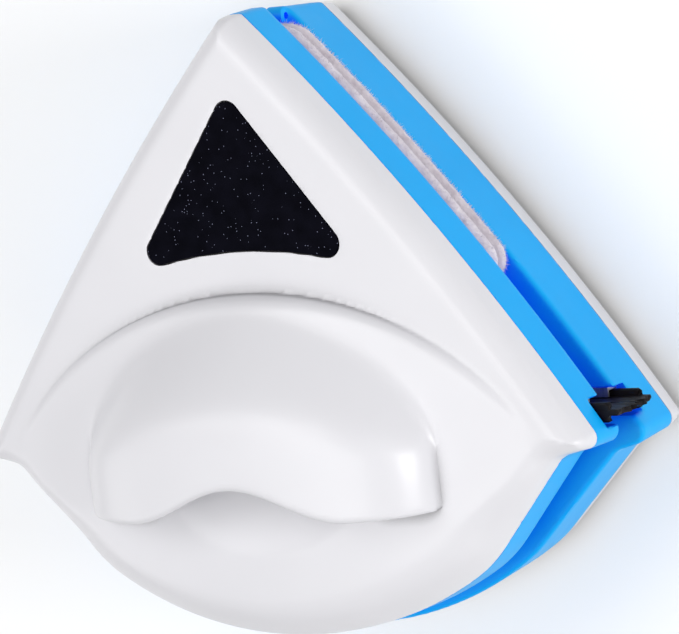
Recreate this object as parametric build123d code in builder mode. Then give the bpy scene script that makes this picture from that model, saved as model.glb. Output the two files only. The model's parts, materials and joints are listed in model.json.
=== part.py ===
from build123d import *
import math
import os

# Magnetic window cleaner: an outer half and an inner half with a hooded handle, clamped
# together by magnets, with a microfibre pad and a rubber wiper blade on each glass side.
# +Z runs from the outer half's flat back to the handle, +Y to the apex, X is the width.
# The origin is at the bottom centre of the box around the whole object.

# ---- plan shapes, mm: half width and level of each corner before rounding, right side ----
# tip: flat end of the triangle; corner: the wide sharp corner; waist: the hollow below it;
# lobe: where the lobe's arc begins; bottom: the middle of that arc
inner_plan = {"tip": (1.5, 62.0), "corner": (68.5, -23.1), "waist": (60.0, -25.1), "lobe": (43.3, -45.6),
              "bottom": (0.0, -59.9)}
outer_plan = {"tip": (1.5, 61.3), "corner": (69.6, -25.5), "waist": (62.3, -27.5), "lobe": (43.3, -47.4),
              "bottom": (0.0, -62.0)}
plan_rounds = {"tip": 1.2, "corner": 2.2, "waist": 5.0, "lobe": 28.0}
side_bow = 2.6              # how far each long side bows out of its chord

# ---- heights ----
glass_z = 27.0              # middle plane between the two halves
pad_gap = 3.8               # half of the gap that the pads fill
touch = 0.15                # half clearance between facing soft parts
inner_base_depth = 9.2
outer_base_depth = 14.4
inner_shell_height = 7.6
rim_flare = 0.45            # bases are this much wider at the glass side
wall = 2.3
floor = 2.2
shell_draft = 8.0           # degrees
cavity_draft = 18.0

# ---- inner shell: dome, hood and finger pocket ----
dome_top_z = 51.9
dome_radius = 380.0
dome_y = -23.4
arch_top_y = 10.0           # foot of the dome's arched step
arch_end_x = 62.0
arch_end_y = -21.4
dome_slope = 30.0           # degrees, flank of the step
shoulder_wide = 5.0
shoulder_high = 4.8
lobe_shoulder = 9.0
lobe_shoulder_z = 50.4
lobe_inset = 0.2
tip_shoulder = 2.5
corner_run = 8.0            # reach of the straight shoulders past a corner
waste_margin = 4.0          # how far the shoulders' waste stands clear of the cover
hood_half = 38.5
hood_high = 14.4            # ridge above the dome
hood_droop = 0.05           # fall of the visor towards its lip
hood_back_y = 8.0           # foot of the hood's back slope, on the middle line and at the ends
hood_back_end_y = -20.0
hood_ridge_y = -12.5
hood_ridge_end_y = -21.5
hood_back_powers = (1.8, 0.65)   # shape of the back foot's line across the hood
hood_crown_powers = (4.0, 0.45)  # shape of the ridge's fall towards the hood's ends
back_knee = 3.0             # softness of the two bends
ridge_knee = 3.5
hood_steps = 17             # points across the hood's top surface, each way
hood_span = 0.92            # share of a quarter turn that the surface spans towards each end
hood_sink = 0.3             # the hood's foot starts this far under the dome
hood_front = 4.0            # how far the top surface runs past the lip before it is cut
foot_x = 24.0               # forward corners of the hood's lip
foot_y = -33.2
lip_mid_y = -26.4
tail_y = -33.0
pocket_half = 23.0
pocket_floor_z = 51.2
pocket_roof_z = 60.4
pocket_back_y = -11.5
pocket_past = 6.0           # how far the pocket is cut past the lip's feet
pocket_round = 4.4
dish_radius = 62.0
dish_deep = 3.4
dish_y = -27.0

# ---- accent panel ----
panel_apex_y = 48.0
panel_base_y = 13.2
panel_base_rise = 3.9
panel_half = 25.6
panel_round = 2.8
panel_thick = 0.7
tape_thick = 0.2
panel_depth = 1.0
panel_clear = 0.15

# ---- wiper blades ----
blade_y = -18.2
blade_end_x = 69.4
flange_short = 2.0          # the flange stops this far inside the lip's ends
blade_room = 0.2            # play between the flange and the channel's back
lip_thick = 1.2
flange_wide = 3.8
flange_thick = 1.5
channel_wide = 5.2
channel_deep = 4.2
channel_wall = 0.6
channel_half = 62.0
trough_wide = 5.4
trough_deep = 4.6
trough_wall = 1.6
trough_clear = 0.1

# ---- magnets, yoke and clamp ----
magnet_radius = 11.0
magnet_thick = 5.0
magnet_spots = [(0, 28.6), (24, 0.6), (-24, 0.6), (0, -35.6)]
magnet_edge = 0.4
socket_wall = 1.2
socket_high = 3.0
yoke_thick = 1.5
yoke_plan = [(0, 44), (37, -5), (14, -48), (-14, -48), (-37, -5)]
yoke_round = 6.0
clamp_thick = 1.6
clamp_plan = [(-9, 38), (9, 38), (35, 18), (32, -40), (-32, -40), (-35, 18)]
clamp_round = 4.0
clamp_window_radius = 17.0  # triangular window over the middle
clamp_window_y = 4.0
clamp_slot = (34.0, 9.0)
clamp_slot_y = -26.0
post_spots = [(30, 14.6), (-30, 14.6), (27, -36), (-27, -36)]
post_radius = 3.0
post_shank = 1.1
post_shank_deep = 6.0
case_spots = [(0, 46.5), (45, -29.5), (-45, -29.5), (0, -53)]
boss_radius = 3.4
case_shank = 1.3
case_shank_grip = 4.8
head_radius = 2.3
head_thick = 1.4
head_sunk = 0.3             # case screw heads sit this far below the base's glass side
drive_long = 2.4            # cross recess in each screw head
drive_wide = 0.6
drive_deep = 0.8
bore_clear = 0.15
end_clear = 0.3             # space past the end of each screw

# ---- pads ----
pad_inset = 0.3
pad_end_x = 48.0
pad_end_y = 12.0            # level of the pads' side ends
pad_low_y = -6.0            # lowest point of the pads' curved lower edge
pad_top_y = 56.2
pad_round = 4.0
pad_tip_round = 1.5
hook_sheet = 0.6

# ---- cord eyelet on the outer base ----
eyelet_radius = 1.9
eyelet_hole = 0.7
eyelet_half = 2.0
eyelet_y = 60.0
eyelet_rise = 0.9           # the eyelet's axis above the base's glass side

os.makedirs("parts", exist_ok=True)
inner_side = Plane((0, 0, glass_z + pad_gap))
outer_side = Plane((0, 0, glass_z - pad_gap), x_dir=(-1, 0, 0), z_dir=(0, 0, -1))
outer_shell_height = glass_z - pad_gap - outer_base_depth
face_z = glass_z + pad_gap + inner_base_depth + inner_shell_height
below_y = inner_plan["bottom"][1] - 20


def save(block, name):
    """Label a finished piece and write its STEP file."""
    block.part.label = name
    export_step(block.part, f"parts/{name}.step")


def side_points(plan, x_sign):
    """Ends and middle of one bowed side, from the tip to the wide corner."""
    start, end = (Vector(x_sign * x, y) for x, y in (plan["tip"], plan["corner"]))
    chord = end - start
    bow = Vector(-chord.Y, chord.X).normalized() * side_bow * x_sign
    return start, (start + end) * 0.5 + bow, end


def case_outline(plane, plan, grow=0.0):
    """Plan shape of a half: two bowed sides, rounded corners and a round lobe."""
    left = {name: (-x, y) for name, (x, y) in plan.items()}
    with BuildSketch(plane) as sketch:
        with BuildLine():
            Line(plan["tip"], left["tip"])
            for x_sign, half_plan in ((1, plan), (-1, left)):
                ThreePointArc(*side_points(plan, x_sign))
                Polyline(half_plan["corner"], half_plan["waist"], half_plan["lobe"])
            ThreePointArc(plan["lobe"], plan["bottom"], left["lobe"])
        make_face()
        for name, radius in plan_rounds.items():
            x, y = plan[name]
            corners = sketch.vertices().filter_by(lambda v: abs(abs(v.X) - x) + abs(v.Y - y) < 0.2)
            fillet(corners, radius)
        if grow:
            offset(amount=grow, kind=Kind.INTERSECTION)
    return sketch.sketch


def shoulder_profile(plane, rim, wide, high, inset):
    """Waste outside a quarter-round shoulder; x is outward and y up from the top face."""
    top = rim - inset - wide
    outside = rim + waste_margin
    with BuildSketch(plane) as profile:
        with BuildLine():
            EllipticalCenterArc((top, -high), wide, high, start_angle=0, arc_size=90)
            Polyline((top, 0), (top, waste_margin), (outside, waste_margin), (outside, -high),
                     (rim - inset, -high))
        make_face()
    return profile.sketch


def side_shoulder(plan, x_sign, top_z, up, height):
    """Ring of waste that rounds the shoulder along one bowed side."""
    start, middle, end = side_points(plan, x_sign)
    half_chord = (end - start).length / 2
    radius = (half_chord**2 + side_bow**2) / (2 * side_bow)
    out = (middle - (start + end) * 0.5).normalized()
    centre = middle - out * radius
    plane = Plane((centre.X, centre.Y, top_z), x_dir=out, z_dir=out.cross(Vector(0, 0, up)))
    profile = shoulder_profile(plane, radius, shoulder_wide, shoulder_high, shoulder_inset(height))
    with BuildPart() as ring:
        add(profile)
        revolve(axis=Axis((centre.X, centre.Y, 0), (0, 0, 1)))
    return ring.part


def shoulder_inset(height):
    """How far the draft has pulled the wall in by the time the shoulder starts."""
    return (height - shoulder_high) * math.tan(math.radians(shell_draft))


def lobe_shoulder_waste(plan, top_z, up, wide, high, inset):
    """Waste that rounds the shoulder round the lobe and under both wide corners."""
    outline = case_outline(Plane.XY.offset(top_z), plan)
    lobe_edges = outline.edges().filter_by(lambda e: e.center().Y < plan["waist"][1] - 2)
    chain = Wire(lobe_edges)
    first = 0 if (chain @ 0).X * up > 0 else 1
    begin = chain @ first
    way = (chain % first) * (1 if first == 0 else -1)
    outward = Vector(way.Y, -way.X) * -up
    profile = shoulder_profile(Plane(begin, x_dir=outward, z_dir=way), 0, wide, high, inset)
    with BuildPart() as waste:
        sweep(sections=profile, path=chain)
        for x_sign in (1, -1):
            corner, waist = (Vector(x_sign * x, y, top_z) for x, y in (plan["corner"], plan["waist"]))
            way = (waist - corner).normalized() * up * x_sign
            outward = Vector(way.Y, -way.X) * -up
            plane = Plane((corner + waist) * 0.5 - way * corner_run, x_dir=outward, z_dir=way)
            extrude(shoulder_profile(plane, 0, wide, high, inset), amount=corner_run * 1.75)
    return waste.part


def shell_body(plane, plan, height, top_z, up):
    """Drafted cover with rounded shoulders along its two sides and its flat tip."""
    with BuildPart() as body:
        extrude(case_outline(plane, plan), amount=height, taper=shell_draft)
        for x_sign in (1, -1):
            add(side_shoulder(plan, x_sign, top_z, up, height), mode=Mode.SUBTRACT)
        tip_y = plan["tip"][1]
        tip_plane = Plane((0, tip_y, top_z), x_dir=(0, 1, 0), z_dir=Vector(0, 1, 0).cross(Vector(0, 0, up)))
        tip_profile = shoulder_profile(tip_plane, 0, tip_shoulder, shoulder_high, shoulder_inset(height))
        extrude(tip_profile, amount=corner_run, both=True, mode=Mode.SUBTRACT)
    return body.part


def shell_inside(plane, plan, height):
    """Hollow of a cover, with its screw bosses left standing."""
    with BuildPart() as hollow:
        extrude(case_outline(plane, plan, grow=-wall), amount=height - floor, taper=cavity_draft)
        with BuildSketch(plane):
            with Locations(*case_spots):
                Circle(boss_radius)
        extrude(amount=height, mode=Mode.SUBTRACT)
        with BuildSketch(plane):
            with Locations(*case_spots):
                Circle(case_shank + bore_clear / 2)
        extrude(amount=case_shank_grip + end_clear)
    return hollow.part


def panel_outline(plane, grow=0.0):
    """Rounded triangle whose lower edge arches up a little."""
    with BuildSketch(plane) as panel:
        with BuildLine():
            ThreePointArc((-panel_half, panel_base_y), (0, panel_base_y + panel_base_rise),
                          (panel_half, panel_base_y))
            Polyline((panel_half, panel_base_y), (0, panel_apex_y), (-panel_half, panel_base_y))
        make_face()
        fillet(panel.vertices(), panel_round)
        if grow:
            offset(amount=grow)
    return panel.sketch


def pad_sheet(plane, amount):
    """Rounded-triangle sheet that fills the upper glass side of a half."""
    with BuildPart() as sheet:
        with BuildSketch(plane):
            add(case_outline(Plane.XY, inner_plan, grow=-pad_inset))
            with BuildSketch(Plane.XY, mode=Mode.INTERSECT):
                with BuildLine():
                    ThreePointArc((-pad_end_x, pad_end_y), (0, pad_low_y), (pad_end_x, pad_end_y))
                    Polyline((-pad_end_x, pad_end_y), (-pad_end_x, pad_top_y), (pad_end_x, pad_top_y),
                             (pad_end_x, pad_end_y))
                make_face()
        extrude(amount=amount)
        fillet(sheet.edges().filter_by(Axis.Z).group_by(Axis.Y)[0], pad_round)
        fillet(sheet.edges().filter_by(Axis.Z).group_by(Axis.Y)[-1], pad_tip_round)
    return sheet


# ---- the two halves' common pieces ----
halves = {
    "inner": (inner_side, inner_base_depth, inner_plan),
    "outer": (outer_side, outer_base_depth, outer_plan),
}
for half, (glass_side, depth, plan) in halves.items():
    yoke_w = floor + magnet_thick
    clamp_w = yoke_w + yoke_thick
    screw_w = clamp_w + clamp_thick

    with BuildPart() as base:
        flare = math.degrees(math.atan(rim_flare / depth))
        extrude(case_outline(glass_side, plan, grow=rim_flare), amount=depth, taper=flare)
        hollow = case_outline(glass_side.offset(floor), plan, grow=-wall)
        extrude(hollow, amount=depth, mode=Mode.SUBTRACT)
        with BuildSketch(glass_side):
            add(case_outline(Plane.XY, plan, grow=-wall / 2))
            with BuildSketch(Plane.XY, mode=Mode.INTERSECT):
                with Locations((0, blade_y)):
                    Rectangle(2 * blade_end_x, trough_wide + 2 * trough_wall)
        extrude(amount=trough_deep + trough_wall)
        with BuildSketch(glass_side):
            with Locations(*magnet_spots):
                Circle(magnet_radius + bore_clear + socket_wall)
                Circle(magnet_radius + bore_clear, mode=Mode.SUBTRACT)
        extrude(amount=floor + socket_high)
        with BuildSketch(glass_side.offset(floor / 2)):
            with Locations(*post_spots):
                Circle(post_radius)
        extrude(amount=clamp_w - floor / 2)
        with BuildSketch(glass_side.offset(floor / 2)):
            with Locations(*case_spots):
                Circle(boss_radius)
        extrude(amount=depth - floor / 2)
        with BuildSketch(glass_side):
            with Locations((0, blade_y)):
                Rectangle(2.2 * blade_end_x, trough_wide)
        extrude(amount=trough_deep, mode=Mode.SUBTRACT)
        with BuildSketch(glass_side.offset(clamp_w)):
            with Locations(*post_spots):
                Circle(post_shank + bore_clear / 2)
        extrude(amount=-post_shank_deep - end_clear, mode=Mode.SUBTRACT)
        with BuildSketch(glass_side):
            with Locations(*case_spots):
                Circle(case_shank + bore_clear)
        extrude(amount=depth, mode=Mode.SUBTRACT)
        with BuildSketch(glass_side):
            with Locations(*case_spots):
                Circle(head_radius + 2 * bore_clear)
        extrude(amount=head_thick + head_sunk, mode=Mode.SUBTRACT)
        if half == "outer":
            with BuildSketch(Plane.YZ.offset(-eyelet_half)):
                with Locations((eyelet_y, glass_z - pad_gap + eyelet_rise)):
                    Circle(eyelet_radius)
            extrude(amount=2 * eyelet_half)
            with BuildSketch(Plane.YZ.offset(-2 * eyelet_half)):
                with Locations((eyelet_y, glass_z - pad_gap + eyelet_rise)):
                    Circle(eyelet_hole)
            extrude(amount=4 * eyelet_half, mode=Mode.SUBTRACT)
    save(base, f"{half}_base")

    with BuildPart() as channel:
        channel_w = trough_deep - channel_deep - trough_clear
        with BuildSketch(glass_side.offset(channel_w)):
            with Locations((0, blade_y)):
                Rectangle(2 * channel_half, channel_wide)
        extrude(amount=channel_deep)
        with BuildSketch(glass_side.offset(channel_w + channel_wall)):
            with Locations((0, blade_y)):
                Rectangle(2 * channel_half, channel_wide - 2 * channel_wall)
        extrude(amount=channel_deep - 2 * channel_wall, mode=Mode.SUBTRACT)
        with BuildSketch(glass_side):
            with Locations((0, blade_y)):
                Rectangle(2 * channel_half, lip_thick + 2 * blade_room)
        extrude(amount=trough_deep / 2, mode=Mode.SUBTRACT)
    save(channel, f"{half}_blade_channel")

    with BuildPart() as blade:
        flange_w = trough_deep - trough_clear - blade_room / 2 - channel_wall - flange_thick
        with BuildSketch(glass_side.offset(flange_w)):
            with Locations((0, blade_y)):
                Rectangle(2 * (blade_end_x - flange_short), flange_wide)
        extrude(amount=flange_thick)
        with BuildSketch(glass_side.offset(flange_w)):
            with Locations((0, blade_y)):
                Rectangle(2 * blade_end_x, lip_thick)
        extrude(amount=-flange_w - pad_gap + touch)
    save(blade, f"{half}_wiper_blade")

    with BuildPart() as magnets:
        with BuildSketch(glass_side.offset(floor)):
            with Locations(*magnet_spots):
                Circle(magnet_radius)
        extrude(amount=magnet_thick)
        chamfer(magnets.edges(), magnet_edge)
    save(magnets, f"{half}_magnets")

    with BuildPart() as yoke:
        with BuildSketch(glass_side.offset(yoke_w)) as yoke_sketch:
            with BuildLine():
                Polyline(*yoke_plan, close=True)
            make_face()
            fillet(yoke_sketch.vertices(), yoke_round)
        extrude(amount=yoke_thick)
    save(yoke, f"{half}_yoke_plate")

    with BuildPart() as clamp:
        with BuildSketch(glass_side.offset(clamp_w)) as clamp_sketch:
            with BuildLine():
                Polyline(*clamp_plan, close=True)
            make_face()
            fillet(clamp_sketch.vertices(), clamp_round)
            with Locations((0, clamp_window_y)):
                RegularPolygon(clamp_window_radius, 3, mode=Mode.SUBTRACT, rotation=90)
            with Locations((0, clamp_slot_y)):
                SlotOverall(*clamp_slot, mode=Mode.SUBTRACT)
            with Locations(*post_spots):
                Circle(post_shank + 2 * bore_clear, mode=Mode.SUBTRACT)
        extrude(amount=clamp_thick)
    save(clamp, f"{half}_magnet_clamp")

    with BuildPart() as clamp_screws:
        with BuildSketch(glass_side.offset(screw_w)):
            with Locations(*post_spots):
                Circle(head_radius)
        extrude(amount=head_thick)
        with BuildSketch(glass_side.offset(screw_w)):
            with Locations(*post_spots):
                Circle(post_shank)
        extrude(amount=-clamp_thick - post_shank_deep)
        with BuildSketch(glass_side.offset(screw_w + head_thick)):
            with Locations(*post_spots):
                Rectangle(drive_long, drive_wide)
                Rectangle(drive_wide, drive_long)
        extrude(amount=-drive_deep, mode=Mode.SUBTRACT)
    save(clamp_screws, f"{half}_clamp_screws")

    with BuildPart() as case_screws:
        with BuildSketch(glass_side.offset(head_sunk)):
            with Locations(*case_spots):
                Circle(head_radius)
        extrude(amount=head_thick)
        with BuildSketch(glass_side.offset(head_sunk)):
            with Locations(*case_spots):
                Circle(case_shank)
        extrude(amount=depth + case_shank_grip - head_sunk)
        with BuildSketch(glass_side.offset(head_sunk)):
            with Locations(*case_spots):
                Rectangle(drive_long, drive_wide)
                Rectangle(drive_wide, drive_long)
        extrude(amount=drive_deep, mode=Mode.SUBTRACT)
    save(case_screws, f"{half}_case_screws")

    sheet = pad_sheet(glass_side, -hook_sheet)
    save(sheet, f"{half}_hook_sheet")
    pad = pad_sheet(glass_side.offset(-hook_sheet), hook_sheet + touch - pad_gap)
    save(pad, f"{half}_pad")

# ---- outer shell: plain cover with a flat back ----
outer_seam = outer_side.offset(outer_base_depth)
with BuildPart() as outer_shell:
    add(shell_body(outer_seam, outer_plan, outer_shell_height, 0, -1))
    outer_inset = shoulder_inset(outer_shell_height)
    add(lobe_shoulder_waste(outer_plan, 0, -1, shoulder_wide, shoulder_high, outer_inset), mode=Mode.SUBTRACT)
    add(shell_inside(outer_seam, outer_plan, outer_shell_height), mode=Mode.SUBTRACT)
save(outer_shell, "outer_shell")

# ---- inner shell: cover with a raised lobe, a hooded handle and a panel recess ----
inner_seam = inner_side.offset(inner_base_depth)
with BuildPart() as dome:
    with BuildSketch(Plane.XY.offset(face_z - 1)):
        with BuildLine():
            ThreePointArc((arch_end_x, arch_end_y), (0, arch_top_y), (-arch_end_x, arch_end_y))
            Polyline((-arch_end_x, arch_end_y), (-arch_end_x, below_y), (arch_end_x, below_y),
                     (arch_end_x, arch_end_y))
        make_face()
    extrude(amount=dome_top_z - face_z + 2, taper=dome_slope)
    with BuildSketch(inner_seam, mode=Mode.PRIVATE) as lobe_half:
        add(case_outline(Plane.XY, inner_plan))
        with Locations((0, arch_top_y)):
            Rectangle(4 * arch_end_x, 4 * arch_end_x, align=(Align.CENTER, Align.MAX), mode=Mode.INTERSECT)
    extrude(lobe_half.sketch, amount=dome_top_z - inner_seam.origin.Z, taper=shell_draft, mode=Mode.INTERSECT)
    with Locations((0, dome_y, dome_top_z - dome_radius)):
        Sphere(dome_radius, mode=Mode.INTERSECT)


def soft_ramp(u, knee):
    """Zero below 0 and u above it, with a rounded bend."""
    return 0.5 * (u + math.hypot(u, knee))


def hood_point(u, v):
    """Point on the hood's top: u runs across it from -1 to 1, v from the back foot to the front."""
    x = hood_half * math.sin(u * hood_span * math.pi / 2)
    q = abs(x) / hood_half
    back_share, crown_share = (
        (1 - q**inner) ** outer for inner, outer in (hood_back_powers, hood_crown_powers)
    )
    back_y = hood_back_end_y + (hood_back_y - hood_back_end_y) * back_share
    ridge_y = hood_ridge_y + (hood_ridge_end_y - hood_ridge_y) * q**2
    front_y = foot_y - hood_front
    y = back_y + 1 + (front_y - back_y - 1) * v
    climb = (soft_ramp(back_y - y, back_knee) - soft_ramp(ridge_y - y, ridge_knee)) / (back_y - ridge_y)
    base = dome_top_z - (x**2 + (hood_back_y - dome_y) ** 2) / (2 * dome_radius) - hood_sink
    rise = hood_high * crown_share * climb - hood_droop * soft_ramp(ridge_y - y, ridge_knee)
    return Vector(x, y, base + rise)


hood_grid = [
    [hood_point(2 * i / (hood_steps - 1) - 1, j / (hood_steps - 1)) for i in range(hood_steps)]
    for j in range(hood_steps)
]
with BuildPart() as hood:
    extrude(Face.make_surface_from_array_of_points(hood_grid), amount=hood_high + 2, dir=(0, 0, -1))
    with BuildSketch(Plane.XY.offset(pocket_floor_z - 1)):
        Rectangle(4 * hood_half, 4 * hood_half)
    extrude(amount=-2 * hood_high, mode=Mode.SUBTRACT)
    with BuildSketch(Plane.XY.offset(pocket_floor_z - 2)):
        with BuildLine():
            Spline((-hood_half, tail_y), (-foot_x, foot_y), (0, lip_mid_y), (foot_x, foot_y),
                   (hood_half, tail_y), tangents=[(1, 0), (1, 0)])
            Polyline((hood_half, tail_y), (2 * hood_half, tail_y), (2 * hood_half, below_y),
                     (-2 * hood_half, below_y), (-2 * hood_half, tail_y), (-hood_half, tail_y))
        make_face()
    extrude(amount=2 * hood_high, mode=Mode.SUBTRACT)

with BuildPart() as dish:
    with Locations((0, dish_y, dome_top_z - dish_deep + dish_radius)):
        Sphere(dish_radius)
    with Locations((0, pocket_back_y, pocket_floor_z + 1)):
        Box(dish_radius, dish_radius, dish_radius, align=(Align.CENTER, Align.MAX, Align.MAX),
            mode=Mode.INTERSECT)
with BuildPart() as finger_space:
    with Locations((0, pocket_back_y, pocket_floor_z)):
        Box(2 * pocket_half, pocket_back_y - foot_y + pocket_past, pocket_roof_z - pocket_floor_z,
            align=(Align.CENTER, Align.MAX, Align.MIN))
    fillet(finger_space.edges().filter_by(Axis.Z).group_by(Axis.Y)[-1], pocket_round)
    fillet(finger_space.edges().group_by(Axis.Z)[-1], pocket_round - 0.2)
    add(dish.part)

with BuildPart() as inner_shell:
    add(shell_body(inner_seam, inner_plan, inner_shell_height, face_z, 1))
    add(dome.part)
    add(lobe_shoulder_waste(inner_plan, lobe_shoulder_z, 1, lobe_shoulder, lobe_shoulder, lobe_inset),
        mode=Mode.SUBTRACT)
    add(hood.part)
    add(finger_space.part, mode=Mode.SUBTRACT)
    extrude(panel_outline(Plane.XY.offset(face_z)), amount=-panel_depth, mode=Mode.SUBTRACT)
    add(shell_inside(inner_seam, inner_plan, inner_shell_height), mode=Mode.SUBTRACT)
save(inner_shell, "inner_shell")

with BuildPart() as panel_tape:
    extrude(panel_outline(Plane.XY.offset(face_z - panel_depth), -2 * panel_clear), amount=tape_thick)
save(panel_tape, "panel_tape")
with BuildPart() as accent_panel:
    panel_plane = Plane.XY.offset(face_z - panel_depth + tape_thick)
    extrude(panel_outline(panel_plane, -panel_clear), amount=panel_thick)
save(accent_panel, "accent_panel")
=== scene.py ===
import json
import math

import bpy
import numpy as np
from mathutils import Matrix, Vector


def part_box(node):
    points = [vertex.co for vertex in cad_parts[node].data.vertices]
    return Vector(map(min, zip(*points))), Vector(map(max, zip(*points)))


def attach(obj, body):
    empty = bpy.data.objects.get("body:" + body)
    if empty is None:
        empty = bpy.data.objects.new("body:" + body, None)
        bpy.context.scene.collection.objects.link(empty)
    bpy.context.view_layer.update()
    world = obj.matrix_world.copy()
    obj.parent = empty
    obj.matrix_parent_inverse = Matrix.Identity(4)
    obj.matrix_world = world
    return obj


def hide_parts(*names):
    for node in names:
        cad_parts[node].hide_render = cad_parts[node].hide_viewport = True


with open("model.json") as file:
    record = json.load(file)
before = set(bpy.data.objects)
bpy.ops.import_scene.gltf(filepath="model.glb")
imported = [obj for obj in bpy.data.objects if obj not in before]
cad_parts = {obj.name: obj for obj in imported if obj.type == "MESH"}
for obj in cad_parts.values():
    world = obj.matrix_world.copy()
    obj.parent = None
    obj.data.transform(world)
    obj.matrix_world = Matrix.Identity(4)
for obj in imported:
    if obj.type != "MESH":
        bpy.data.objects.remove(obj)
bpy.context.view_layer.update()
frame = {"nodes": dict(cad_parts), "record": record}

# Magnetic window cleaner. Every length below is in millimetres until it reaches a mesh.
MM = 0.001


def box_mm(node):
    """Lowest and highest corner of a CAD node, in millimetres."""
    low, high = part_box(node)
    return np.array(low) / MM, np.array(high) / MM


# ---------------------------------------------------------------- plan shapes
# Corners of each half's outline before rounding, right side: flat tip, wide corner, waist, and the lobe's start
# and bottom.
INNER_PLAN = ((1.5, 62.0), (68.5, -23.1), (60.0, -25.1), (43.3, -45.6), (0.0, -59.9))
OUTER_PLAN = ((1.5, 61.3), (69.6, -25.5), (62.3, -27.5), (43.3, -47.4), (0.0, -62.0))
SIDE_BOW = 2.6
TIP_ROUND, CORNER_ROUND, WAIST_ROUND, LOBE_ROUND = 1.2, 2.2, 5.0, 28.0


def line_inside(p0, p1):
    """Signed distance to the line p0-p1, positive on its left."""
    p0, p1 = np.array(p0, float), np.array(p1, float)
    way = (p1 - p0) / np.linalg.norm(p1 - p0)
    return lambda p: (p[1] - p0[1]) * way[0] - (p[0] - p0[0]) * way[1]


def circle_inside(centre, radius):
    return lambda p: radius - math.hypot(p[0] - centre[0], p[1] - centre[1])


def rounding(inside_a, inside_b, radius, near):
    """Centre and tangent points of the arc that rounds the corner of two curves.

    A hollow corner has a negative radius.
    """
    p = np.array(near, float)
    for _ in range(30):
        slopes = []
        for inside in (inside_a, inside_b):
            slopes.append([(inside(p + d) - inside(p - d)) / 2e-4 for d in (np.array([1e-4, 0]), np.array([0, 1e-4]))])
        gap = np.array([inside_a(p) - radius, inside_b(p) - radius])
        p = p - np.linalg.solve(np.array(slopes), gap)
    ends = [p - radius * np.array(s) / np.linalg.norm(s) for s in slopes]
    return p, ends[0], ends[1]


def outline_pieces(plan):
    """Arcs and lines of the right half of an outline, clockwise from the flat tip."""
    tip, corner, waist, lobe_start, bottom = (np.array(p) for p in plan)
    half_chord = np.linalg.norm(corner - tip) / 2
    side_radius = (half_chord**2 + SIDE_BOW**2) / (2 * SIDE_BOW)
    way = (corner - tip) / (2 * half_chord)
    side_centre = (tip + corner) / 2 + np.array([-way[1], way[0]]) * (SIDE_BOW - side_radius)
    rise = lobe_start[1] - bottom[1]
    lobe_radius = (lobe_start[0] ** 2 + rise**2) / (2 * rise)
    lobe_centre = bottom + (0, lobe_radius)
    top = lambda p: tip[1] - p[1]
    side = circle_inside(side_centre, side_radius)
    under = line_inside(waist, corner)
    slope = line_inside(lobe_start, waist)
    lobe = circle_inside(lobe_centre, lobe_radius)
    tip_c, tip_a, tip_b = rounding(top, side, TIP_ROUND, tip - 1)
    wide_c, wide_a, wide_b = rounding(side, under, CORNER_ROUND, corner + (-4, 2))
    waist_c, waist_a, waist_b = rounding(under, slope, -WAIST_ROUND, waist + (2, -5))
    low_c, low_a, low_b = rounding(slope, lobe, LOBE_ROUND, lobe_start * 0.6)
    return [
        (None, (0, tip[1]), tip_a, 1), (tip_c, tip_a, tip_b, 1), (side_centre, tip_b, wide_a, 1),
        (wide_c, wide_a, wide_b, 1), (None, wide_b, waist_a, 1), (waist_c, waist_a, waist_b, -1),
        (None, waist_b, low_a, 1), (low_c, low_a, low_b, 1), (lobe_centre, low_b, bottom, 1),
    ]


OUTLINES = {plan: outline_pieces(plan) for plan in (INNER_PLAN, OUTER_PLAN)}


def inside_outline(x, y, plan=INNER_PLAN):
    """Signed distance to a half's seam outline, positive inside. Each piece is a line, or an arc about a centre."""
    x = np.abs(x)
    best = np.full(np.broadcast(x, y).shape, 1e9)
    value = best.copy()
    for centre, start, end, sign in OUTLINES[plan]:
        if centre is None:
            length = math.hypot(end[0] - start[0], end[1] - start[1])
            way = ((end[0] - start[0]) / length, (end[1] - start[1]) / length)
            signed = (x - start[0]) * way[1] - (y - start[1]) * way[0]
            along = (x - start[0]) * way[0] + (y - start[1]) * way[1]
            within = (along >= 0) & (along <= length)
        else:
            a, b = np.array(start) - centre, np.array(end) - centre
            px, py = x - centre[0], y - centre[1]
            signed = sign * (np.linalg.norm(a) - np.hypot(px, py))
            turn = np.sign(a[0] * b[1] - a[1] * b[0])
            within = ((a[0] * py - a[1] * px) * turn >= 0) & ((px * b[1] - py * b[0]) * turn >= 0)
        near_end = np.minimum(np.hypot(x - start[0], y - start[1]), np.hypot(x - end[0], y - end[1]))
        gap = np.where(within, np.abs(signed), near_end)
        closer = gap < best
        value = np.where(closer, np.sign(signed) * gap, value)
        best = np.where(closer, gap, best)
    return value


# ---------------------------------------------------------------- blends of signed distances, negative inside
def both_round(a, b, radius):
    """Intersection whose edge is rounded."""
    u, v = np.maximum(a + radius, 0), np.maximum(b + radius, 0)
    return np.minimum(np.maximum(a, b), -radius) + np.hypot(u, v)


def either_smooth(a, b, reach):
    """Union with a soft valley."""
    h = np.clip(0.5 + 0.5 * (b - a) / reach, 0, 1)
    return b + (a - b) * h - reach * h * (1 - h)


def high_smooth(a, b, reach):
    return -either_smooth(-a, -b, reach)


def ease(t):
    t = np.clip(t, 0, 1)
    return t * t * (3 - 2 * t)


# ---------------------------------------------------------------- surfaces from a signed distance
def slope_at(field, points):
    """Gradient of a field at each point."""
    return np.stack([(field(*(points + d).T) - field(*(points - d).T)) / 0.01 for d in np.eye(3) * 0.005], 1)


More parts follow.
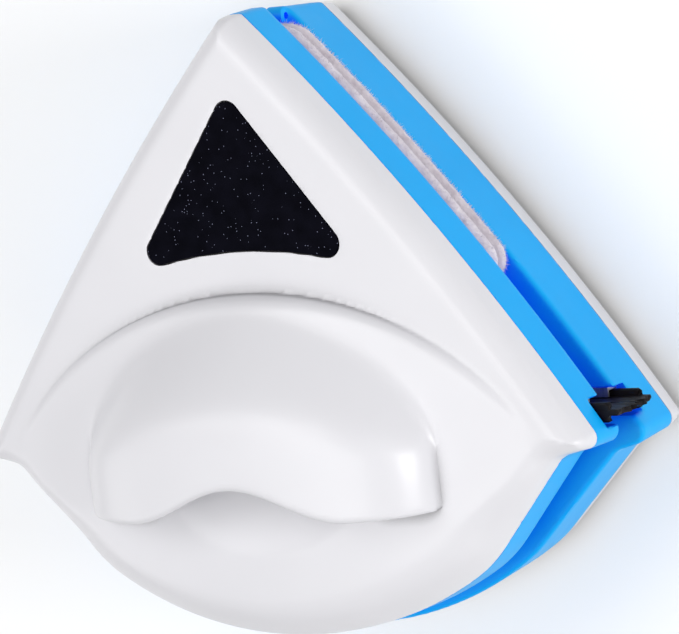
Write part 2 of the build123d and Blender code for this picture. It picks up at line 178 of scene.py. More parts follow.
def surface_net(field, low, high, step):
    """Vertices and quads of field = 0. Each grid cell on the surface gets one vertex, fitted to the planes that cross
    the cell, so that edges stay crisp, and is then pulled onto the surface."""
    axes = [np.arange(a - 1.5 * step, b + 1.5 * step, step) for a, b in zip(low, high)]
    values = field(axes[0][:, None, None], axes[1][None, :, None], axes[2][None, None, :])
    cells = [n - 1 for n in values.shape]
    total = cells[0] * cells[1] * cells[2]
    sums = np.zeros((total, 4))
    rings, crossings = [], []
    for axis in range(3):
        lower, upper = [slice(None)] * 3, [slice(None)] * 3
        lower[axis], upper[axis] = slice(None, -1), slice(1, None)
        a, b = values[tuple(lower)], values[tuple(upper)]
        at = np.argwhere((a < 0) != (b < 0))
        others = [k for k in range(3) if k != axis]
        va, vb = a[tuple(at.T)], b[tuple(at.T)]
        point = np.stack([axes[k][at[:, k]] for k in range(3)], 1)
        point[:, axis] += step * va / (va - vb)
        ring = []
        for du, dv in ((-1, -1), (0, -1), (0, 0), (-1, 0)):
            cell = at.copy()
            cell[:, others[0]] += du
            cell[:, others[1]] += dv
            flat = (cell[:, 0] * cells[1] + cell[:, 1]) * cells[2] + cell[:, 2]
            for k in range(3):
                sums[:, k] += np.bincount(flat, point[:, k], total)
            sums[:, 3] += np.bincount(flat, minlength=total)
            ring.append(flat)
        ring = np.stack(ring, 1)
        flip = (va < 0) if axis != 1 else (va >= 0)
        ring[~flip] = ring[~flip][:, ::-1]
        rings.append(ring)
        crossings.append(point)
    rings, crossings = np.concatenate(rings), np.concatenate(crossings)
    used = np.flatnonzero(sums[:, 3])
    number = np.full(total, -1)
    number[used] = np.arange(len(used))
    middle = sums[used, :3] / sums[used, 3:]
    normal = slope_at(field, crossings)
    normal /= np.maximum(np.linalg.norm(normal, axis=1, keepdims=True), 1e-6)
    square, side = np.zeros((len(used), 3, 3)), np.zeros((len(used), 3))
    for corner in range(4):
        vertex = number[rings[:, corner]]
        reach = (normal * (crossings - middle[vertex])).sum(1)
        for i in range(3):
            side[:, i] += np.bincount(vertex, normal[:, i] * reach, len(used))
            for j in range(3):
                square[:, i, j] += np.bincount(vertex, normal[:, i] * normal[:, j], len(used))
    shift = np.linalg.solve(square + 0.08 * np.eye(3), side[:, :, None])[:, :, 0]
    points = middle + np.clip(shift, -0.8 * step, 0.8 * step)
    for _ in range(3):
        slope = slope_at(field, points)
        move = field(*points.T)[:, None] * slope / np.maximum((slope**2).sum(1), 0.25)[:, None]
        length = np.linalg.norm(move, axis=1, keepdims=True)
        points -= move * np.minimum(1, 0.3 * step / np.maximum(length, 1e-9))
    return points, number[rings]


def mesh_piece(name, points, faces, material, smooth=True):
    """A Blender object from points in millimetres."""
    mesh = bpy.data.meshes.new(name)
    mesh.from_pydata((np.asarray(points) * MM).tolist(), [], faces)
    mesh.validate()
    if smooth:
        mesh.polygons.foreach_set("use_smooth", [True] * len(mesh.polygons))
        mesh.set_sharp_from_angle(angle=math.radians(40))
    piece = bpy.data.objects.new(name, mesh)
    bpy.context.scene.collection.objects.link(piece)
    piece.data.materials.append(material)
    return piece


def moulding(name, field, low, high, step, material, body, node, nap=None):
    """A solid piece from a signed distance, which stands for one CAD node. nap adds fibres to its mesh."""
    points, quads = surface_net(field, np.array(low), np.array(high), step)
    faces = quads.tolist()
    if nap:
        points, faces = nap(points, quads)
    piece = mesh_piece(name, points, faces, material)
    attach(piece, body)
    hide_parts(node)
    return piece


# ---------------------------------------------------------------- materials
def new_material(name):
    material = bpy.data.materials.new(name)
    material.use_nodes = True
    nodes, links = material.node_tree.nodes, material.node_tree.links
    shader = nodes["Principled BSDF"]
    place = nodes.new("ShaderNodeTexCoord").outputs["Object"]
    return material, nodes, links, shader, place


def noise_node(nodes, links, place, scale, detail=3.0, stretch=(1, 1, 1)):
    spread = nodes.new("ShaderNodeMapping")
    spread.inputs["Scale"].default_value = stretch
    links.new(place, spread.inputs["Vector"])
    noise = nodes.new("ShaderNodeTexNoise")
    noise.inputs["Scale"].default_value = scale
    noise.inputs["Detail"].default_value = detail
    links.new(spread.outputs["Vector"], noise.inputs["Vector"])
    return noise.outputs["Fac"]


def ramp_node(nodes, links, value, stops):
    ramp = nodes.new("ShaderNodeValToRGB")
    while len(ramp.color_ramp.elements) < len(stops):
        ramp.color_ramp.elements.new(0.5)
    for element, (at, colour) in zip(ramp.color_ramp.elements, stops):
        element.position = at
        element.color = (*colour, 1)
    links.new(value, ramp.inputs["Fac"])
    return ramp.outputs["Color"]


def range_node(nodes, links, value, low, high):
    spread = nodes.new("ShaderNodeMapRange")
    spread.inputs["From Min"].default_value = 0.1
    spread.inputs["From Max"].default_value = 0.9
    spread.inputs["To Min"].default_value = low
    spread.inputs["To Max"].default_value = high
    links.new(value, spread.inputs["Value"])
    return spread.outputs["Result"]


def bump_chain(nodes, links, shader, layers):
    """Stacked bumps: (height socket, depth in mm)."""
    before = None
    for height, depth in layers:
        bump = nodes.new("ShaderNodeBump")
        bump.inputs["Strength"].default_value = 1.0
        bump.inputs["Distance"].default_value = depth * MM
        links.new(height, bump.inputs["Height"])
        if before:
            links.new(before, bump.inputs["Normal"])
        before = bump.outputs["Normal"]
    links.new(before, shader.inputs["Normal"])


def plastic(name, dark, light, painted_shade_colour, rough, coat=0.0, grain=0.006, shine=0.5, reach=4, closed=(0.5, 0.8), painted_glow=0.0):
    """Moulded plastic: faint colour drift, uneven gloss, orange peel, and painted shade: the colour turns toward a dark
    shade colour down in creases up to reach mm wide.
    glow adds painted light in those creases, an emission standing in for the light that a translucent plastic lets
    through."""
    material, nodes, links, shader, place = new_material(name)
    drift = noise_node(nodes, links, place, 45, 2)
    colour = ramp_node(nodes, links, drift, [(0.1, dark), (0.9, light)])
    gloss = noise_node(nodes, links, place, 160, 2)
    links.new(range_node(nodes, links, gloss, rough - 0.04, rough + 0.05), shader.inputs["Roughness"])
    peel = noise_node(nodes, links, place, 520, 3)
    bump_chain(nodes, links, shader, [(peel, grain)])
    shader.inputs["IOR"].default_value = 1.5
    shader.inputs["Coat Weight"].default_value = coat
    shader.inputs["Coat Roughness"].default_value = 0.12
    shader.inputs["Specular IOR Level"].default_value = shine
    # Painted shade: ambient occlusion finds creases, and the base colour is mixed toward the shade colour there.
    shade = nodes.new("ShaderNodeAmbientOcclusion")
    shade.inputs["Distance"].default_value = reach * MM
    shade.samples = 8
    painted_shade_mask = ramp_node(nodes, links, shade.outputs["AO"], [(closed[0], (1, 1, 1)), (closed[1], (0, 0, 0))])
    mix = nodes.new("ShaderNodeMix")
    mix.data_type = "RGBA"
    links.new(painted_shade_mask, mix.inputs["Factor"])
    links.new(colour, mix.inputs["A"])
    mix.inputs["B"].default_value = (*painted_shade_colour, 1)
    # Painted light: an emission of the shade colour in the same creases, though the plastic is no lamp.
    if painted_glow:
        power = nodes.new("ShaderNodeMath")
        power.operation = "MULTIPLY"
        power.inputs[1].default_value = painted_glow
        links.new(painted_shade_mask, power.inputs[0])
        links.new(power.outputs[0], shader.inputs["Emission Strength"])
        shader.inputs["Emission Color"].default_value = (*painted_shade_colour, 1)
    links.new(mix.outputs["Result"], shader.inputs["Base Color"])
    return material


def rubber(name):
    material, nodes, links, shader, place = new_material(name)
    bloom = noise_node(nodes, links, place, 260, 5)
    links.new(ramp_node(nodes, links, bloom, [(0.3, (0.002, 0.001, 0.002)), (0.75, (0.008, 0.006, 0.008))]),
              shader.inputs["Base Color"])
    links.new(range_node(nodes, links, bloom, 0.4, 0.62), shader.inputs["Roughness"])
    shader.inputs["Specular IOR Level"].default_value = 0.15
    drag = noise_node(nodes, links, place, 1400, 4, (0.2, 1, 1))
    bump_chain(nodes, links, shader, [(drag, 0.05)])
    return material


def fibre_cloth(name, dark, light):
    """Short-pile cloth: tufts, stray fibres and a soft sheen."""
    material, nodes, links, shader, place = new_material(name)
    tuft = nodes.new("ShaderNodeTexVoronoi")
    tuft.inputs["Scale"].default_value = 1100
    links.new(place, tuft.inputs["Vector"])
    fuzz = noise_node(nodes, links, place, 2600, 4)
    patch = noise_node(nodes, links, place, 300, 4)
    links.new(ramp_node(nodes, links, patch, [(0.3, dark), (0.7, light)]), shader.inputs["Base Color"])
    bump_chain(nodes, links, shader, [(tuft.outputs["Distance"], 0.12), (fuzz, 0.05)])
    shader.inputs["Roughness"].default_value = 0.95
    shader.inputs["Sheen Weight"].default_value = 0.5
    shader.inputs["Sheen Roughness"].default_value = 0.6
    return material


def metal(name, colour, rough, stretch=(1, 14, 1)):
    material, nodes, links, shader, place = new_material(name)
    streak = noise_node(nodes, links, place, 420, 6, stretch)
    dark = tuple(c * 0.82 for c in colour)
    links.new(ramp_node(nodes, links, streak, [(0.3, dark), (0.7, colour)]), shader.inputs["Base Color"])
    links.new(range_node(nodes, links, streak, rough - 0.06, rough + 0.1), shader.inputs["Roughness"])
    bump_chain(nodes, links, shader, [(streak, 0.01)])
    shader.inputs["Metallic"].default_value = 1.0
    return material


def flecked_panel(name):
    """Black gloss panel with sparse bright flecks under the surface."""
    material, nodes, links, shader, place = new_material(name)
    cells = nodes.new("ShaderNodeTexVoronoi")
    cells.inputs["Scale"].default_value = 1700
    links.new(place, cells.inputs["Vector"])
    small = nodes.new("ShaderNodeMath")
    small.operation = "LESS_THAN"
    small.inputs[1].default_value = 0.16
    links.new(cells.outputs["Distance"], small.inputs[0])
    split = nodes.new("ShaderNodeSeparateColor")
    links.new(cells.outputs["Color"], split.inputs["Color"])
    rare = nodes.new("ShaderNodeMath")
    rare.operation = "GREATER_THAN"
    rare.inputs[1].default_value = 0.72
    links.new(split.outputs["Red"], rare.inputs[0])
    fleck = nodes.new("ShaderNodeMath")
    fleck.operation = "MULTIPLY"
    links.new(small.outputs[0], fleck.inputs[0])
    links.new(rare.outputs[0], fleck.inputs[1])
    haze = noise_node(nodes, links, place, 300, 4)
    base = ramp_node(nodes, links, haze, [(0.35, (0.001, 0.001, 0.003)), (0.7, (0.0025, 0.0025, 0.006))])
    mix = nodes.new("ShaderNodeMix")
    mix.data_type = "RGBA"
    mix.inputs["B"].default_value = (0.16, 0.17, 0.24, 1)
    links.new(fleck.outputs[0], mix.inputs["Factor"])
    links.new(base, mix.inputs["A"])
    links.new(mix.outputs["Result"], shader.inputs["Base Color"])
    bump_chain(nodes, links, shader, [(haze, 0.01)])
    shader.inputs["Roughness"].default_value = 0.5
    shader.inputs["Specular IOR Level"].default_value = 0.02
    return material


# The third colour of each plastic is its painted shade colour for creases: here it darkens the step foot, the hollow
# under the hood and the recess edges.
WHITE = plastic("shell_white", (0.66, 0.655, 0.685), (0.69, 0.685, 0.715), (0.11, 0.105, 0.11), 0.36, coat=0.12,
                grain=0.0015, reach=5, closed=(0.45, 0.86))
# Painted shade and painted light: in the gaps and creases the blue turns to a deeper blue and glows, in place of shadow
# colour and light through translucent plastic.
BLUE = plastic("base_blue", (0.002, 0.36, 0.82), (0.003, 0.40, 0.89), (0.0, 0.07, 0.92), 0.42, grain=0.003,
               shine=0.15, reach=11, closed=(0.2, 0.78), painted_glow=0.24)
# These too get painted shade: their third colour is mixed in down in creases.
GREY = plastic("clamp_grey", (0.1, 0.1, 0.11), (0.13, 0.13, 0.14), (0.06, 0.06, 0.065), 0.5)
TAPE = plastic("tape_clear", (0.7, 0.7, 0.66), (0.76, 0.76, 0.72), (0.5, 0.5, 0.47), 0.6)
BLACK_RUBBER = rubber("blade_rubber")
PILE = fibre_cloth("pad_fibre", (0.60, 0.54, 0.60), (0.74, 0.69, 0.74))
HOOKS = fibre_cloth("hook_sheet", (0.5, 0.51, 0.53), (0.62, 0.63, 0.65))
PANEL = flecked_panel("panel_black")
NICKEL = metal("magnet_nickel", (0.74, 0.72, 0.68), 0.22)
ZINC = metal("yoke_steel", (0.62, 0.63, 0.65), 0.35)
SCREW = metal("screw_steel", (0.66, 0.66, 0.66), 0.28, (6, 6, 1))
ALU = metal("channel_metal", (0.8, 0.8, 0.82), 0.33, (14, 1, 14))
LOOKS = {
    "shell_white": WHITE, "base_blue": BLUE, "clamp_grey": GREY, "tape_clear": TAPE, "blade_rubber": BLACK_RUBBER,
    "pad_fibre": PILE, "hook_sheet": HOOKS, "panel_black": PANEL, "magnet_nickel": NICKEL, "yoke_steel": ZINC,
    "screw_steel": SCREW, "channel_metal": ALU,
}
for part in frame["record"]["subparts"]:
    slots = frame["nodes"][part["node"]].data.materials
    slots.clear()
    slots.append(LOOKS[part["material_slot"]])

# ---------------------------------------------------------------- inner shell
SEAM_Z = box_mm("inner_shell")[0][2]
FACE_Z = 47.6
WALL_DRAFT = math.tan(math.radians(8))
SIDE_SHOULDER, LOBE_SHOULDER = 4.0, 8.0
DOME_TOP, DOME_RADIUS, DOME_Y = 51.9, 380.0, -23.4
ARCH_CENTRE_Y, ARCH_RADIUS = -67.4, 76.4
STEP_LEAN, STEP_FOOT, STEP_ROUND = 0.08, 0.5, 2.2
HOOD_HALF, HOOD_HIGH, HOOD_DROOP = 38.5, 14.4, 0.05
BACK_FOOT_Y, BACK_END_Y, RIDGE_Y, RIDGE_END_Y = 8.0, -20.0, -12.5, -21.5
HOOD_WALL = 2.6
FOOT_X, FOOT_Y, LIP_Y, TAIL_Y = 24.0, -33.2, -26.4, -33.0
POCKET_HALF, POCKET_BACK, POCKET_FRONT = 24.5, -11.0, -40.0
DISH_DEEP, DISH_REACH, DISH_Y = 3.4, 22.0, -27.0
PANEL_APEX, PANEL_BASE, PANEL_RISE, PANEL_HALF, PANEL_ROUND = 48.0, 13.2, 3.9, 25.6, 2.8
PANEL_FLOOR = 46.6
WALL, BASE_FLOOR, CAVITY_DRAFT = 2.3, 2.2, math.tan(math.radians(18))
CASE_SCREWS = [(0, 46.5), (45, -29.5), (-45, -29.5), (0, -53)]
POSTS = [(30, 14.6), (-30, 14.6), (27, -36), (-27, -36)]
MAGNETS = [(0, 28.6), (24, 0.6), (-24, 0.6), (0, -35.6)]
BOSS_RADIUS, SCREW_BORE, SCREW_GRIP, HEAD_BORE, HEAD_DEEP = 3.4, 1.4, 5.1, 2.6, 1.7
POST_RADIUS, POST_TOP, POST_BORE, POST_BORE_DEEP = 3.0, 8.7, 1.2, 6.3
SOCKET_RADIUS, SOCKET_WALL_HALF, SOCKET_HIGH = 11.75, 0.6, 3.0


def soft_ramp(u, reach):
    """Zero below 0 and u above it, with a rounded knee."""
    return 0.5 * (u + np.sqrt(u * u + reach * reach))


def dome_height(x, y):
    return DOME_TOP - (x**2 + (y - DOME_Y) ** 2) / (2 * DOME_RADIUS)


def lobe_height(x, y):
    """Top of the crowned lobe with the finger dish in front of the hood."""
    dish = np.maximum(1 - (x / DISH_REACH) ** 2 - ((y - DISH_Y) / 15) ** 2, 0)
    return dome_height(x, y) - DISH_DEEP * dish**1.5


def hood_height(x, y):
    """Top of the hood: a ramp up from behind to a curved ridge, then a nearly level visor out to the lip."""
    q = np.clip(np.abs(x) / HOOD_HALF, 0, 1)
    back_y = BACK_END_Y + (BACK_FOOT_Y - BACK_END_Y) * np.maximum(1 - q**1.8, 0) ** 0.65
    ridge_y = RIDGE_Y + (RIDGE_END_Y - RIDGE_Y) * q**2
    crown = HOOD_HIGH * np.maximum(1 - q**4, 0) ** 0.45
    climb = (soft_ramp(back_y - y, 3.0) - soft_ramp(ridge_y - y, 3.5)) / (back_y - ridge_y)
    return dome_height(x, BACK_FOOT_Y) - 0.3 + climb * crown - HOOD_DROOP * soft_ramp(ridge_y - y, 3.5)


def lip_line(x):
    """Front edge of the hood in plan: two forward feet, an arch between them and straight ends."""
    x = np.abs(x)
    arch = LIP_Y + (FOOT_Y - LIP_Y) * 0.5 * (1 - np.cos(np.pi * np.clip(x / FOOT_X, 0, 1)))
    tail = FOOT_Y + (TAIL_Y - FOOT_Y) * ease((x - FOOT_X) / (HOOD_HALF - FOOT_X))
    return np.where(x < FOOT_X, arch, tail)


def around(x, y, spot):
    return np.hypot(x - spot[0], y - spot[1])


def hollow_cover(cover, x, y, w, inside, height):
    """Hollow of a cover with its screw bosses left standing: w is the height above its seam."""
    cavity = both_round(w - (height - BASE_FLOOR), w * CAVITY_DRAFT + WALL - inside, 1.5)
    for spot in CASE_SCREWS:
        cavity = np.maximum(cavity, BOSS_RADIUS - around(x, y, spot))
    for spot in CASE_SCREWS:
        cavity = np.minimum(cavity, np.maximum(around(x, y, spot) - SCREW_BORE, w - SCREW_GRIP))
    return both_round(np.maximum(cover, -cavity), -w, 0.2)


PANEL_SLANT = math.hypot(PANEL_HALF, PANEL_APEX - PANEL_BASE)
PANEL_RADIUS = (PANEL_HALF**2 + PANEL_RISE**2) / (2 * PANEL_RISE)


def panel_side(x, y):
    return (x * (PANEL_APEX - PANEL_BASE) + (y - PANEL_APEX) * PANEL_HALF) / PANEL_SLANT


def panel_base(x, y):
    return PANEL_RADIUS - np.hypot(x, y - PANEL_BASE - PANEL_RISE + PANEL_RADIUS)


PANEL_CORNER = rounding(lambda p: -panel_side(*p), lambda p: -panel_base(*p), PANEL_ROUND,
                        (PANEL_HALF - 2 * PANEL_ROUND, PANEL_BASE + PANEL_ROUND))


def panel_field(x, y):
    """Signed distance to the accent panel's rounded triangle, negative inside."""
    x = np.abs(x)
    flat = np.maximum(panel_side(x, y), panel_base(x, y))
    centre, side_end, base_end = PANEL_CORNER
    a, b = side_end - centre, base_end - centre
    px, py = x - centre[0], y - centre[1]
    turn = a[0] * b[1] - a[1] * b[0]
    cap = ((px * b[1] - py * b[0]) * turn > 0) & ((a[0] * py - a[1] * px) * turn > 0)
    flat = np.where(cap, np.hypot(px, py) - PANEL_ROUND, flat)
    tip = np.hypot(x, y - PANEL_APEX + PANEL_ROUND * PANEL_SLANT / PANEL_HALF) - PANEL_ROUND
    reach = y - PANEL_APEX + PANEL_ROUND * (PANEL_SLANT / PANEL_HALF - PANEL_HALF / PANEL_SLANT)
    return np.where(reach > 0, np.maximum(flat, tip), flat)


def inner_shell_field(x, y, z):
    inside = inside_outline(x, y)
    lobe = ease((-y - 26) / 14)
    shoulder = SIDE_SHOULDER + (LOBE_SHOULDER - SIDE_SHOULDER) * lobe
    side = (z - SEAM_Z) * WALL_DRAFT - inside
    past_arch = ARCH_RADIUS - np.hypot(x, y - ARCH_CENTRE_Y)
    step = (z - FACE_Z) * STEP_LEAN - past_arch
    flat = both_round(z - FACE_Z, side, shoulder)
    dome = both_round(both_round(z - lobe_height(x, y), side, shoulder), step, STEP_ROUND)
    foot = STEP_FOOT * np.exp(-((past_arch / 3) ** 2)) * ease((z - 43) / 2) + 1e-3
    body = either_smooth(flat, dome, foot)
    hood_top = high_smooth(hood_height(x, y), dome_height(x, y), 2.0)
    hood = both_round(both_round(z - hood_top, side, shoulder), step, STEP_ROUND)
    hood = both_round(hood, lip_line(x) - y, 1.2)
    roof = z - (hood_height(x, y) - HOOD_WALL)
    plan = ((np.abs(x) / POCKET_HALF) ** 4 + (np.maximum(y - POCKET_FRONT, 0) / (POCKET_BACK - POCKET_FRONT)) ** 4)
    plan = (plan ** 0.25 - 1) * 20
    pocket = both_round(both_round(roof, plan, 3.5), lobe_height(x, y) - z, 2.5)
    shell = np.maximum(np.minimum(body, hood), -pocket)
    recess = np.maximum(panel_field(x, y), PANEL_FLOOR - z)
    shell = both_round(shell, -recess, 0.3)
    return hollow_cover(shell, x, y, z - SEAM_Z, inside, FACE_Z - SEAM_Z)


STEP = 0.7
moulding("inner_cover", inner_shell_field, (-69, -61, SEAM_Z), (69, 63, 65), STEP, WHITE, "inner_half", "inner_shell")

# ---------------------------------------------------------------- outer cover and the two blue bases
OUTER_SEAM_Z = 8.8
BASES = {
    "inner_base": (30.8, 1, 9.2, INNER_PLAN, "inner_half"),
    "outer_base": (23.2, -1, 14.4, OUTER_PLAN, "outer_half"),
}
RIM_FLARE, RIM_ROUND = 0.45, 0.8
BLADE_Y, TROUGH_HALF, TROUGH_DEEP, TROUGH_WALL = -18.2, 2.7, 4.6, 1.6
NOSE_Y, NOSE_RISE, NOSE_RADIUS, NOSE_HALF, NOSE_HOLE = 60.0, 0.9, 1.9, 2.0, 0.7


def outer_shell_field(x, y, z):
    """Plain cover with rounded shoulders and a flat back, hollow from the seam side."""
    inside = inside_outline(x, y, OUTER_PLAN)
    cover = both_round((OUTER_SEAM_Z - z) * WALL_DRAFT - inside, -z, SIDE_SHOULDER)
    return hollow_cover(cover, x, y, OUTER_SEAM_Z - z, inside, OUTER_SEAM_Z)


def base_field(x, y, w, plan, depth, nosed):
    """Blue base: w runs from its glass side, 0, to its seam. It has ribs, magnet sockets, posts and a blade trough."""
    inside = inside_outline(x, y, plan)
    base = both_round(-inside - RIM_FLARE * (1 - w / depth), -w, RIM_ROUND)
    kept = np.maximum(np.abs(y - BLADE_Y) - TROUGH_HALF - TROUGH_WALL, w - TROUGH_DEEP - TROUGH_WALL)
    for spot in MAGNETS:
        ring = np.abs(around(x, y, spot) - SOCKET_RADIUS) - SOCKET_WALL_HALF
        kept = np.minimum(kept, np.maximum(ring, w - BASE_FLOOR - SOCKET_HIGH))
    for spot in POSTS:
        kept = np.minimum(kept, np.maximum(around(x, y, spot) - POST_RADIUS, w - POST_TOP))
    for spot in CASE_SCREWS:
        kept = np.minimum(kept, around(x, y, spot) - BOSS_RADIUS)
    cavity = np.maximum(both_round(WALL - inside, BASE_FLOOR - w, 1.0), -kept)
    base = np.maximum(base, -cavity)
    if nosed:
        axis = np.hypot(y - NOSE_Y, w + NOSE_RISE)
        base = either_smooth(base, both_round(axis - NOSE_RADIUS, np.abs(x) - NOSE_HALF, 0.5), 0.7)
        base = both_round(base, NOSE_HOLE - axis, 0.15)
    trough = both_round(np.abs(y - BLADE_Y) - TROUGH_HALF, w - TROUGH_DEEP, 0.4)
    base = both_round(base, -trough, 0.4)
    for spot in CASE_SCREWS:
        reach = around(x, y, spot)
        base = np.maximum(base, -np.minimum(reach - SCREW_BORE, np.maximum(reach - HEAD_BORE, w - HEAD_DEEP)))
    for spot in POSTS:
        base = np.maximum(base, -np.maximum(around(x, y, spot) - POST_BORE, POST_TOP - POST_BORE_DEEP - w))
    return both_round(base, w - depth, 0.2)


def lumps(x, y, z, size):
    """Smooth, repeatable unevenness between -1 and 1, with lumps of about that size."""
    k = 2 * math.pi / size
    first = np.sin(k * (0.83 * x + 0.31 * y + 0.47 * z) + 1.7 * np.sin(0.37 * k * (y - z)) + 1.1)
    second = np.sin(k * (0.91 * y - 0.42 * x + 0.21 * z) + 1.9 * np.sin(0.41 * k * (x + z)) + 0.4)
    return first * second


moulding("outer_cover", outer_shell_field, (-70, -63, 0), (70, 62, OUTER_SEAM_Z), STEP, WHITE, "outer_half",
         "outer_shell")
for node, (face, way, depth, plan, body) in BASES.items():
    nosed = way < 0
    field = lambda x, y, z: base_field(x, y, way * (z - face), plan, depth, nosed)
    ends = sorted((face - way * (3.0 if nosed else 0.0), face + way * depth))
    moulding(node + "_moulding", field, (-71, -64, ends[0]), (71, 64, ends[1]), STEP, BLUE, body, node)

# ---------------------------------------------------------------- microfibre pads
GLASS_Z, PAD_GAP, TOUCH_W, HOOK_W = 27.0, 3.8, -3.65, -0.6
PAD_INSET, PAD_TOP_Y, PAD_ROUND, PAD_TIP_ROUND = 0.3, 57.6, 4.0, 1.5
PAD_ARC_Y, PAD_ARC_RADIUS = 67.0, 73.0
PAD_BULGE, PAD_EDGE, PAD_CROWN = 0.9, 0.75, 0.35
FIBRE_LONG, FIBRE_WIDE = 0.6, 0.04
SIDE_FIBRES, FACE_FIBRES = 9000, 9000
PAD_STEP = 0.6


def pad_field(x, y, w):
    """Pile pad: w is its height in the case's glass-side frame, from the hook sheet down to the glass."""
    inside = inside_outline(x, y) - PAD_INSET
    lower = PAD_ARC_RADIUS - np.hypot(x, y - PAD_ARC_Y)
    plan = both_round(both_round(-inside, -lower, PAD_ROUND), y - PAD_TOP_Y, PAD_TIP_ROUND)
    middle, half = (TOUCH_W + HOOK_W) / 2, (HOOK_W - TOUCH_W) / 2
    side = plan - PAD_BULGE * (1 - ((w - middle) / half) ** 2)
    edge = np.clip(1 + plan / 9, 0, 1)
    top = TOUCH_W - w + PAD_CROWN * edge**2 + 0.16 * (1 + lumps(x, y, w, 2.7)) * ease((middle - w) / half)
    uneven = 0.07 * lumps(x, y, w, 1.9) + 0.07 * lumps(y, w, x, 4.3)
    return both_round(both_round(side + uneven, top, PAD_EDGE), w - HOOK_W, 0.2)


def fibre_nap(seed, way):
    """Adds short tapered fibres to a pad's mesh, standing out of its sides and of its glass face."""
    def add_fibres(points, quads):
        draw = np.random.default_rng(seed)
        corners = points[quads]
        normal = np.cross(corners[:, 2] - corners[:, 0], corners[:, 3] - corners[:, 1])
        normal /= np.maximum(np.linalg.norm(normal, axis=1, keepdims=True), 1e-9)
        facing = -way * normal[:, 2]
        all_points, all_faces = [points], quads.tolist()
        first = len(points)
        for kind, count in ((np.abs(facing) < 0.7, SIDE_FIBRES), (facing > 0.7, FACE_FIBRES)):
            chosen = draw.choice(np.flatnonzero(kind), count)
            share = draw.dirichlet(np.ones(4), count)
            root = (corners[chosen] * share[:, :, None]).sum(1)
            lean = draw.normal(0, 0.42, (count, 3))
            long = FIBRE_LONG * draw.uniform(0.45, 1.0, count)[:, None]
            tip = root + (normal[chosen] + lean) * long
            limit = GLASS_Z + way * (PAD_GAP + TOUCH_W)
            tip[:, 2] = np.maximum(tip[:, 2], limit) if way > 0 else np.minimum(tip[:, 2], limit)
            root -= normal[chosen] * 0.15
            across = np.cross(tip - root, draw.normal(0, 1, (count, 3)))
            across *= FIBRE_WIDE / np.maximum(np.linalg.norm(across, axis=1, keepdims=True), 1e-9)
            other = np.cross(tip - root, across)
            other *= FIBRE_WIDE / np.maximum(np.linalg.norm(other, axis=1, keepdims=True), 1e-9)
            spikes = np.stack([root + across, root - 0.5 * across + 0.87 * other, root - 0.5 * across - 0.87 * other,
                               tip], 1)
            all_points.append(spikes.reshape(-1, 3))
            base = first + 4 * np.arange(count)
            for corner in ((0, 2, 1), (0, 1, 3), (1, 2, 3), (2, 0, 3)):
                all_faces += (base[:, None] + np.array(corner)).tolist()
            first += 4 * count
        return np.concatenate(all_points), all_faces
    return add_fibres


for half, way, seed in (("inner", 1, 3), ("outer", -1, 5)):
    face = GLASS_Z + way * PAD_GAP
    field = lambda x, y, z: pad_field(x, y, way * (z - face))
    ends = sorted((face + way * HOOK_W, face + way * TOUCH_W))
    pad = moulding(half + "_pile_pad", field, (-48, -8, ends[0]), (48, 59, ends[1]), PAD_STEP, PILE, half + "_half",
                   half + "_pad", nap=fibre_nap(seed, way))

# ---------------------------------------------------------------- rubber blades
LIP_HALF, LIP_END, FLANGE_HALF, FLANGE_LOW, FLANGE_HIGH, FLANGE_END = 0.6, 69.4, 1.9, 2.3, 3.8, 67.4


def blade_field(x, y, w):
    """Wiper blade: a thin lip down to the glass, with torn nibs at its ends, on a flange in the base's channel."""
    reach = y - BLADE_Y
    nibs = 1.1 * np.exp(-((w + 2.6) / 0.55) ** 2) - 1.2 * np.exp(-((w + 1.5) / 0.5) ** 2)
    nibs = nibs + 0.9 * np.exp(-((w + 0.3) / 0.6) ** 2) + 0.25 * lumps(x, y, w, 1.7)
    waver = 0.12 * np.sin(x / 3.1) + 0.3 * ease((np.abs(x) - 60) / 9) * np.sin(w * 1.3)
    thin = LIP_HALF - 0.25 * ease((-w - 1.5) / 2)
    lip = both_round(np.abs(reach - waver * ease(-w / 2)) - thin, np.abs(x) - LIP_END - nibs, 0.25)
    lip = both_round(lip, np.maximum(TOUCH_W - w + 0.12 * (1 + lumps(x, y, 0, 2.3)), w - FLANGE_HIGH), 0.2)
    flange = both_round(np.abs(reach) - FLANGE_HALF, np.abs(x) - FLANGE_END - 0.5 * lumps(x, y, w, 2.1), 0.3)
    return np.minimum(lip, both_round(flange, np.maximum(FLANGE_LOW - w, w - FLANGE_HIGH), 0.3))


for half, way in (("inner", 1), ("outer", -1)):
    face = GLASS_Z + way * PAD_GAP
    field = lambda x, y, z: blade_field(x, y, way * (z - face))
    ends = sorted((face + way * TOUCH_W, face + way * FLANGE_HIGH))
    moulding(half + "_rubber_blade", field, (-71, BLADE_Y - 3, ends[0]), (71, BLADE_Y + 3, ends[1]), 0.4, BLACK_RUBBER,
             half + "_half", half + "_wiper_blade")

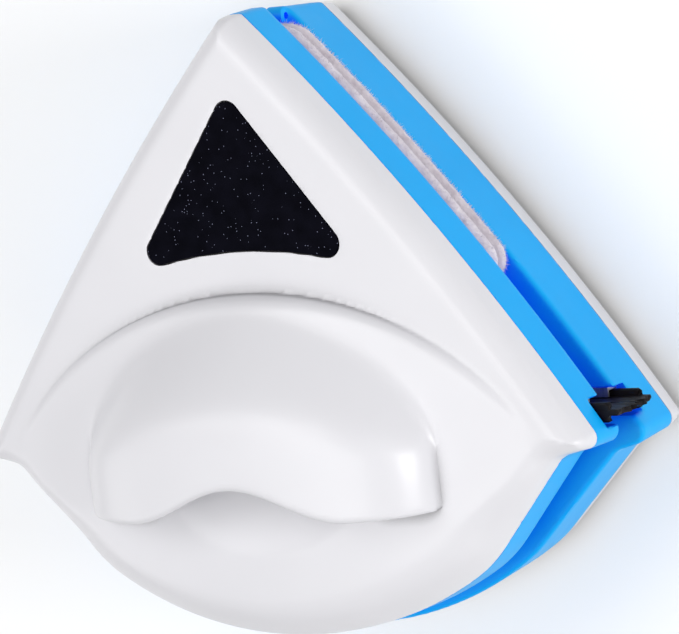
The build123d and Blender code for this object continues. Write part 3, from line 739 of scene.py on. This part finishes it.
# ---------------------------------------------------------------- stage
AZIMUTH, TILT, ROLL = (math.radians(a) for a in (30.0, 7.75, 6.56))
DISTANCE, LENS = 663.57, 179.55
AIM = Vector((7.88, 0.53, GLASS_Z))
right = Vector((math.cos(AZIMUTH), 0, -math.sin(AZIMUTH)))
above = Vector((-math.sin(AZIMUTH) * math.sin(TILT), math.cos(TILT), -math.cos(AZIMUTH) * math.sin(TILT)))
back = right.cross(above)
turned = right * math.cos(ROLL) - above * math.sin(ROLL)
upward = right * math.sin(ROLL) + above * math.cos(ROLL)
camera = bpy.data.objects.new("camera", bpy.data.cameras.new("camera"))
camera.data.sensor_width = 36
camera.data.lens = LENS
camera.data.clip_start, camera.data.clip_end = 0.01, 10
camera.matrix_world = Matrix.Translation((AIM + back * DISTANCE) * MM) @ Matrix(
    (turned, upward, back)
).transposed().to_4x4()
bpy.context.scene.collection.objects.link(camera)
bpy.context.scene.camera = camera

floor_material, nodes, links, shader, place = new_material("floor_pale")
drift = noise_node(nodes, links, place, 6, 3)
pale = ramp_node(nodes, links, drift, [(0.3, (0.9, 0.9, 0.9)), (0.7, (0.93, 0.93, 0.93))])
links.new(pale, shader.inputs["Base Color"])
shader.inputs["Roughness"].default_value = 0.8
FLOOR_HALF, FLOOR_Z = 1500, -0.05
corners = [(x * FLOOR_HALF, y * FLOOR_HALF, FLOOR_Z) for x, y in ((-1, -1), (1, -1), (1, 1), (-1, 1))]
floor = mesh_piece("floor", corners, [(0, 1, 2, 3)], floor_material, smooth=False)

world = bpy.data.worlds.new("studio")
world.use_nodes = True
world.node_tree.nodes["Background"].inputs["Color"].default_value = (1, 1, 1, 1)
world.node_tree.nodes["Background"].inputs["Strength"].default_value = 0.3
bpy.context.scene.world = world
bpy.context.scene.view_settings.view_transform = "Standard"


def softbox(name, place, size, power):
    lamp = bpy.data.objects.new(name, bpy.data.lights.new(name, "AREA"))
    lamp.data.shape = "RECTANGLE"
    lamp.data.size, lamp.data.size_y = size[0] * MM, size[1] * MM
    lamp.data.energy = power
    lamp.location = Vector(place) * MM
    lamp.rotation_euler = (Vector((0, 0, 30)) - Vector(place)).to_track_quat("-Z", "Y").to_euler()
    bpy.context.scene.collection.objects.link(lamp)


softbox("top", (-60, -120, 850), (650, 550), 3.15)
softbox("spark", (-420, 250, 760), (420, 420), 1.0)
softbox("back", (-130, 380, 740), (420, 380), 1.3)
softbox("right", (880, -20, 330), (350, 450), 4.4)
softbox("low_right", (560, -620, 300), (420, 300), 0.7)
softbox("left", (-760, -260, 400), (500, 400), 1.0)

bpy.context.view_layer.update()
